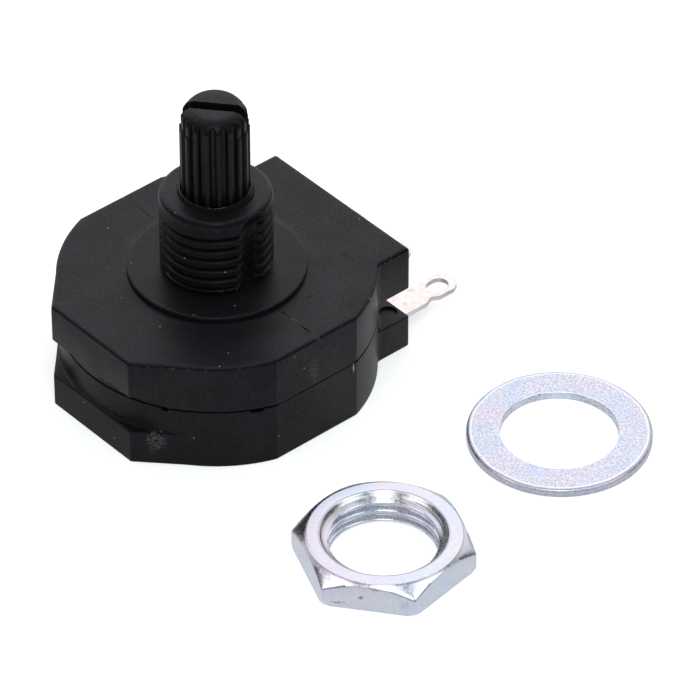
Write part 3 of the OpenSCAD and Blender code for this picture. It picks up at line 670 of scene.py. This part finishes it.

# %% [markdown]
# ### Zinc finishes
# Bright zinc is a metal with low roughness. The chromate film tints it in soft clouds,
# and handling leaves small brown stains. The washer was tumbled, so it is rougher,
# bluish, and sparkles with fine pits. The white and dark rings along the washer's rims
# are painted highlights and painted shade.


# %% Zinc on the nut and on the washer
def zinc(name, silver, blue, lilac, roughness, cloud_mm, grain_mm, contrast, depth_mm, centre_mm,
         lines, marks=()):
    """Zinc under chromate: clouds of tint, a grain in colour, gloss and height, rings of tone round the
    centre, stains.
    """
    material, tree, shader, coords = new_finish(name, silver, roughness, metallic=1.0)
    first = add_node(tree, NOISE, {"Vector": coords, "Scale": 1000 / cloud_mm})
    second = add_node(tree, NOISE, {"Vector": coords, "Scale": 600 / cloud_mm, "Detail": 1.0})
    blueness = add_node(tree, RANGE, {0: first, 1: 0.4, 2: 0.62})
    lilacness = add_node(tree, RANGE, {0: second, 1: 0.45, 2: 0.65})
    base = add_node(tree, MIX, {0: blueness, 6: linear(silver), 7: linear(blue)}, data_type="RGBA").outputs[2]
    base = add_node(tree, MIX, {0: lilacness, 6: base, 7: linear(lilac)}, data_type="RGBA").outputs[2]
    fine = {"Vector": coords, "Scale": 1000 / grain_mm, "Detail": 2.0, "Roughness": 0.6}
    grain = add_node(tree, NOISE, fine)
    shade = add_node(tree, RANGE, {0: grain, 1: 0.4, 2: 0.6, 3: 1 - contrast, 4: 1 + contrast}, clamp=False)
    base = add_node(tree, VECTOR, {0: base, 1: shade}, operation="MULTIPLY").outputs[0]
    middle = tuple(v / 1000 for v in (*centre_mm, 0.0))
    offset = add_node(tree, VECTOR, {0: coords, 1: middle}, operation="SUBTRACT")
    beside = add_node(tree, VECTOR, {0: offset, 1: (1, 1, 0)}, operation="MULTIPLY")
    radius = add_node(tree, VECTOR, {0: beside}, operation="LENGTH").outputs["Value"]
    waver = add_node(tree, RANGE, {0: first, 1: 0.3, 2: 0.7, 3: -0.00003, 4: 0.00003})
    # Rings of tone at given radii, wavering a little. On the washer they are painted light: white painted
    # highlights on the rims, painted shade beside them.
    for at, half_width, tone, share in lines:
        wavy = add_node(tree, MATH, {0: radius, 1: waver}, operation="ADD")
        off = add_node(tree, MATH, {0: wavy, 1: at / 1000}, operation="SUBTRACT")
        close = add_node(tree, MATH, {0: off}, operation="ABSOLUTE")
        line = add_node(tree, RANGE, {0: close, 1: half_width / 1000, 2: half_width / 2500, 3: 0.0, 4: share})
        base = add_node(tree, MIX, {0: line, 6: base, 7: linear(tone)}, data_type="RGBA").outputs[2]
    for centre, reach, frayed, lump, tone, share in marks:
        spot = patch(tree, coords, centre, reach, frayed, lump)
        spot = add_node(tree, MATH, {0: spot, 1: share}, operation="MULTIPLY")
        base = add_node(tree, MIX, {0: spot, 6: base, 7: linear(tone)}, data_type="RGBA").outputs[2]
    tree.links.new(base, shader.inputs["Base Color"])
    matt = add_node(tree, RANGE, {0: grain, 1: 0.4, 2: 0.6, 3: roughness * 0.85, 4: roughness * 1.15})
    tree.links.new(matt.outputs[0], shader.inputs["Roughness"])
    bump = add_node(tree, "ShaderNodeBump", {"Height": grain, "Distance": depth_mm / 1000, "Strength": 0.6})
    tree.links.new(bump.outputs[0], shader.inputs["Normal"])
    return material


NUT_LINES = [(6.68, 0.09, "#8d7f86", 0.5), (5.5, 0.08, "#8a7d80", 0.5), (5.15, 0.28, "#b3b1ae", 0.6)]
# The washer's rings are painted light: a grey painted shade over the outer rim, white painted highlights on
# the rolled rim and the inner rim, and a brown painted shade line between.
WASHER_PAINTED_HIGHLIGHTS_AND_SHADE = [(7.95, 0.35, "#a9abb8", 0.3), (7.62, 0.09, "#f0f0f5", 0.6), (7.84, 0.06, "#8a7a72", 0.6),
                (5.16, 0.06, "#f0f2f8", 0.7)]
NUT_MARKS = [
    ((*NUT_AT, 1.2), (5.05, 5.05, 1.5), 0.05, 0.6, "#8db0bf", 0.85),
    ((32.43, -11.88, 1.39), (0.24, 0.24, 0.2), 0.5, 0.2, "#75604a", 0.75),
    ((30.93, -13.05, 0.63), (0.65, 0.65, 0.14), 0.6, 0.25, "#857768", 0.6),
    ((33.4, -11.2, 2.45), (0.45, 0.45, 0.12), 0.6, 0.2, "#8f7d6c", 0.5),
    ((35.35, -9.6, 1.13), (0.5, 0.6, 0.45), 0.5, 0.2, "#a7a39f", 0.35),
    ((29.2, -12.9, 2.1), (0.8, 0.5, 0.6), 0.7, 0.2, "#85888d", 0.45),
]
nut_zinc = zinc("bright_zinc_nut", "#c9cdd5", "#c2ccdc", "#cccad6", 0.27, 3.6, 0.3, 0.03, 0.002,
                NUT_AT, NUT_LINES, NUT_MARKS)
washer_zinc = zinc("tumbled_zinc_washer", "#bfc4cf", "#b8c2d4", "#c4c2cf", 0.38, 2.2, 0.2, 0.16, 0.02,
                   WASHER_AT, WASHER_PAINTED_HIGHLIGHTS_AND_SHADE)
dress(nut, "housing", "zinc_nut", nut_zinc, "hex_nut")

# %% [markdown]
# ## Washer
# A stamped washer has one rolled rim, where the punch entered, and one square rim. The
# section is carried round the ring, and a slow wave of a few hundredths keeps the top
# from being a perfect mirror.

# %% Washer shape
washer_angles = np.arange(0, 360, 1.5)
ripple = 0.008 * (np.sin(np.radians(3 * washer_angles + 40)) + np.sin(np.radians(7 * washer_angles)))
section = [(5.1, 0.02), (5.1, 0.62), (5.12, 0.71), (5.18, 0.77), (5.3, 0.797)]
section += [(5.8, 0.792), (6.5, 0.786), (7.2, 0.79), (7.5, 0.796)]
section += [(7.55 + 0.45 * math.sin(a), 0.54 + 0.256 * math.cos(a)) for a in np.radians((15, 35, 55, 75, 90))]
section += [(8.0, 0.06), (7.95, 0.0), (6.5, 0.0), (5.14, 0.0)]
washer_rings = []
for r, z in section:
    lift = ripple - 0.016 if 0.75 < z and 5.3 < r < 7.7 else 0.0
    washer_rings.append(ring(washer_angles, r, np.minimum(z + lift, WASHER_T), WASHER_AT))
washer = from_rings("zinc_washer", washer_rings, sharp=40)
dress(washer, "housing", "zinc_washer", washer_zinc, "flat_washer")

# %% [markdown]
# ## Grease at the mouth of the bush
# A ring of damping grease has crept out between shaft and bush. It is black, wet and
# uneven, so it is a small bead whose thickness wanders, with a glossy, lumpy surface.

# %% Grease bead
grease_black, tree, shader, coords = new_finish("damping_grease", "#040405", 0.09, ior=1.48)
blobs = add_node(tree, NOISE, {"Vector": coords, "Scale": 1000 / 0.5, "Detail": 2.0})
bump = add_node(tree, "ShaderNodeBump", {"Height": blobs, "Distance": 0.00012, "Strength": 0.8})
tree.links.new(bump.outputs[0], shader.inputs["Normal"])

grease_angles = np.arange(0, 360, 1.2)
turned = np.radians(grease_angles)
uneven = 0.5 * np.sin(2 * turned + 0.4) + 0.3 * np.sin(5 * turned + 2) + 0.2 * np.sin(11 * turned)
lump = np.exp(-((grease_angles - 30.0) / 14.0) ** 2)
climb = 0.40 + 0.07 * uneven + 0.45 * lump
foot = 3.31 + 0.05 * uneven + 0.1 * lump
grease_rings = [ring(grease_angles, r, BUSH_TOP + z) for r, z in (
    (3.03, -0.3), (3.12, -0.2), (foot - 0.02, -0.02), (foot, 0.02), (foot - 0.02, 0.06), (3.17, climb * 0.6),
    (3.12, climb * 0.9), (3.09, climb * 0.99), (3.06, climb), (3.035, climb * 0.96), (3.03, climb * 0.8))]
grease = from_rings("grease_bead", grease_rings, sharp=85)
dress(grease, "housing", "shaft_moulding", grease_black)

# %% [markdown]
# ## Pieces inside
# The wiper, the tracks and the rivets can only be seen through the joints of the
# housing, but each still gets the finish of its real material: phosphor bronze strip,
# paper laminate, carbon and silver ink, brass.


# %% Finishes of the inner pieces
def plain(name, colour, other, size_mm, roughness, metallic=0.0):
    """Two close colours in clouds of one size, with a light bump."""
    material, tree, shader, coords = new_finish(name, colour, roughness, metallic)
    cloud = add_node(tree, NOISE, {"Vector": coords, "Scale": 1000 / size_mm, "Detail": 3.0})
    base = add_node(tree, MIX, {0: cloud, 6: linear(colour), 7: linear(other)}, data_type="RGBA").outputs[2]
    tree.links.new(base, shader.inputs["Base Color"])
    bump = add_node(tree, "ShaderNodeBump", {"Height": cloud, "Distance": 0.000004, "Strength": 0.4})
    tree.links.new(bump.outputs[0], shader.inputs["Normal"])
    return material


inner = {
    "contact_carrier": plain("natural_nylon_carrier", "#d9d4c6", "#c9c2b0", 1.2, 0.45),
    "wiper_spring": plain("phosphor_bronze_strip", "#c9a36a", "#b98f58", 0.8, 0.3, 1.0),
    "element_wafer": plain("paper_laminate", "#8c5b36", "#744726", 0.5, 0.5),
    "resistive_track": plain("carbon_ink", "#1c1c1e", "#262628", 0.2, 0.4),
    "collector_ring": plain("silver_ink", "#c9c9c4", "#b4b4ae", 0.3, 0.35, 1.0),
    "track_brush": plain("pressed_carbon", "#26262a", "#303034", 0.15, 0.5),
    "rivet_left": plain("drawn_brass", "#d8b268", "#c49a50", 0.6, 0.28, 1.0),
}
same = {"collector_brush": "track_brush", "electrode_left": "collector_ring",
        "electrode_right": "collector_ring", "rivet_centre": "rivet_left", "rivet_right": "rivet_left"}
for node in [*inner, *same]:
    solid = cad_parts[node]
    solid.data.materials.clear()
    solid.data.materials.append(inner[same.get(node, node)])
print("inner solids dressed:", len(inner) + len(same))

# %% [markdown]
# ## Bench, light and camera
# The piece stands on a white bench in a light tent. The bench is diffuse paper that
# takes the shadow, with enough glow for the camera to see it white, and a little more
# where bright metal and the round wall mirror it. Away from the piece the paper itself
# is painted a dark grey, a painted shade that the glow hides from the camera. Behind
# the piece hangs a sheet that only reflections see, bright towards its middle and dark
# outside, so the roof is lit and the rounded edges stay dark. One small lamp stands
# near the camera, and three reflectors are linked to the plated pieces alone, whose
# bevels mirror them.

# %% Bench
bench_mesh = bpy.data.meshes.new("bench")
BENCH_HALF, BENCH_Z = 1.5, (-FACE_Z - 0.01) / 1000
bench_corners = [(BENCH_HALF * x, BENCH_HALF * y, BENCH_Z) for x, y in ((-1, -1), (1, -1), (1, 1), (-1, 1))]
bench_mesh.from_pydata(bench_corners, [], [(0, 1, 2, 3)])
bench = bpy.data.objects.new("bench", bench_mesh)
scene.collection.objects.link(bench)

bench_white = bpy.data.materials.new("white_bench")
bench_white.use_nodes = True
tree = bench_white.node_tree
tree.nodes.clear()
camera_ray = add_node(tree, "ShaderNodeLightPath").outputs["Is Camera Ray"]
spot = add_node(tree, "ShaderNodeTexCoord").outputs["Object"]
away = add_node(tree, VECTOR, {0: spot}, operation="LENGTH").outputs["Value"]
far = add_node(tree, RANGE, {0: away, 1: 0.06, 2: 0.2})
# Painted shade: the paper's own colour falls to a dark grey away from the piece; the glow keeps it white for
# the camera.
near_paper, far_paper_painted_dark = (0.79, 0.81, 0.82, 1), (0.15, 0.15, 0.15, 1)
grey = add_node(tree, MIX, {0: far, 6: near_paper, 7: far_paper_painted_dark}, data_type="RGBA").outputs[2]
paper = add_node(tree, "ShaderNodeBsdfDiffuse", {"Color": grey})
camera_share = add_node(tree, RANGE, {0: far, 3: 0.5, 4: 1.1})
shown = add_node(tree, MATH, {0: camera_ray, 1: camera_share}, operation="MULTIPLY")
for place, reach, lit in ((NUT_AT, 0.0115, 0.26), (WASHER_AT, 0.011, 0.26), ((12.0, 11.5), 0.01, 0.26)):
    middle = (place[0] / 1000, place[1] / 1000, 0.0)
    beside = add_node(tree, VECTOR, {0: add_node(tree, VECTOR, {0: spot, 1: middle}, operation="SUBTRACT"),
                                     1: (1, 1, 0)}, operation="MULTIPLY")
    apart = add_node(tree, VECTOR, {0: beside}, operation="LENGTH").outputs["Value"]
    near = add_node(tree, RANGE, {0: apart, 1: reach, 2: reach - 0.003, 3: 0.0, 4: lit})
    shown = add_node(tree, MATH, {0: shown, 1: near}, operation="MAXIMUM")
glow = add_node(tree, "ShaderNodeEmission", {"Color": (0.97, 0.99, 1, 1), "Strength": shown})
both = add_node(tree, "ShaderNodeAddShader", {0: paper, 1: glow})
add_node(tree, "ShaderNodeOutputMaterial", {"Surface": both})
bench_mesh.materials.append(bench_white)

# %% World and lamps
world = bpy.data.worlds.new("light_tent")
scene.world = world
world.use_nodes = True
tree = world.node_tree
tree.nodes.clear()
path = add_node(tree, "ShaderNodeLightPath")
mirrored, through = path.outputs["Is Glossy Ray"], path.outputs["Is Transmission Ray"]
seen = add_node(tree, MATH, {0: mirrored, 1: through}, operation="MAXIMUM")
way = add_node(tree, "ShaderNodeTexCoord").outputs["Generated"]
SHEET_WAY = (-0.585, 0.509, 0.631)
facing_back = add_node(tree, VECTOR, {0: way, 1: SHEET_WAY}, operation="DOT_PRODUCT").outputs["Value"]
from_dark_to_bright = {0: facing_back, 1: 0.4, 2: 0.78, 3: 0.12, 4: 1.5}
sheet = add_node(tree, RANGE, from_dark_to_bright, interpolation_type="SMOOTHSTEP")
strength = add_node(tree, MIX, {0: seen, 2: 0.82, 3: sheet})
strength = add_node(tree, MATH, {0: strength, 1: path.outputs["Is Camera Ray"]}, operation="MAXIMUM")
tint = add_node(tree, MIX, {0: seen, 6: (1, 1, 1, 1), 7: (1.0, 0.97, 0.985, 1)}, data_type="RGBA").outputs[2]
sky = add_node(tree, "ShaderNodeBackground", {"Color": tint, "Strength": strength})
add_node(tree, "ShaderNodeOutputWorld", {"Surface": sky})


def soft_lamp(name, place, size, watts, aim=(0.005, 0.003, -0.005)):
    """An area lamp at a place in metres, facing the piece."""
    data = bpy.data.lights.new(name, "AREA")
    data.shape, data.size, data.energy = "DISK", size, watts
    lamp = bpy.data.objects.new(name, data)
    lamp.location = place
    lamp.rotation_mode = "QUATERNION"
    lamp.rotation_quaternion = (Vector(aim) - Vector(place)).to_track_quat("-Z", "Y")
    scene.collection.objects.link(lamp)
    return lamp


soft_lamp("lamp_above", (0.17, -0.13, 0.40), 0.13, 0.3)

plated = bpy.data.collections.new("plated_pieces")
for piece in (nut, washer):
    plated.objects.link(piece)
REFLECTORS = {"reflector_right": (0.32, 0.12, 0.26), "reflector_left": (-0.06, -0.32, 0.26),
              "reflector_front": (0.28, -0.22, 0.28)}
for name, place in REFLECTORS.items():
    soft_lamp(name, place, 0.3, 0.5).light_linking.receiver_collection = plated

# %% [markdown]
# ## Camera
# The picture was taken with a long lens from the right front, about 39 degrees above
# the bench. The place, direction and focal length come from fitting the ellipses and
# straight edges of the object.

# %% Camera at the photograph's angle
lens_data = bpy.data.cameras.new("camera")
camera = bpy.data.objects.new("camera", lens_data)
scene.collection.objects.link(camera)
camera.location = (0.31624, -0.26017, 0.32337)
camera.rotation_mode = "QUATERNION"
camera.rotation_quaternion = Vector((-0.5850, 0.5093, -0.6312)).to_track_quat("-Z", "Y")
lens_data.sensor_width, lens_data.lens = 36.0, 312.5
lens_data.clip_start, lens_data.clip_end = 0.01, 20.0
scene.camera = camera
scene.view_settings.view_transform = "Standard"
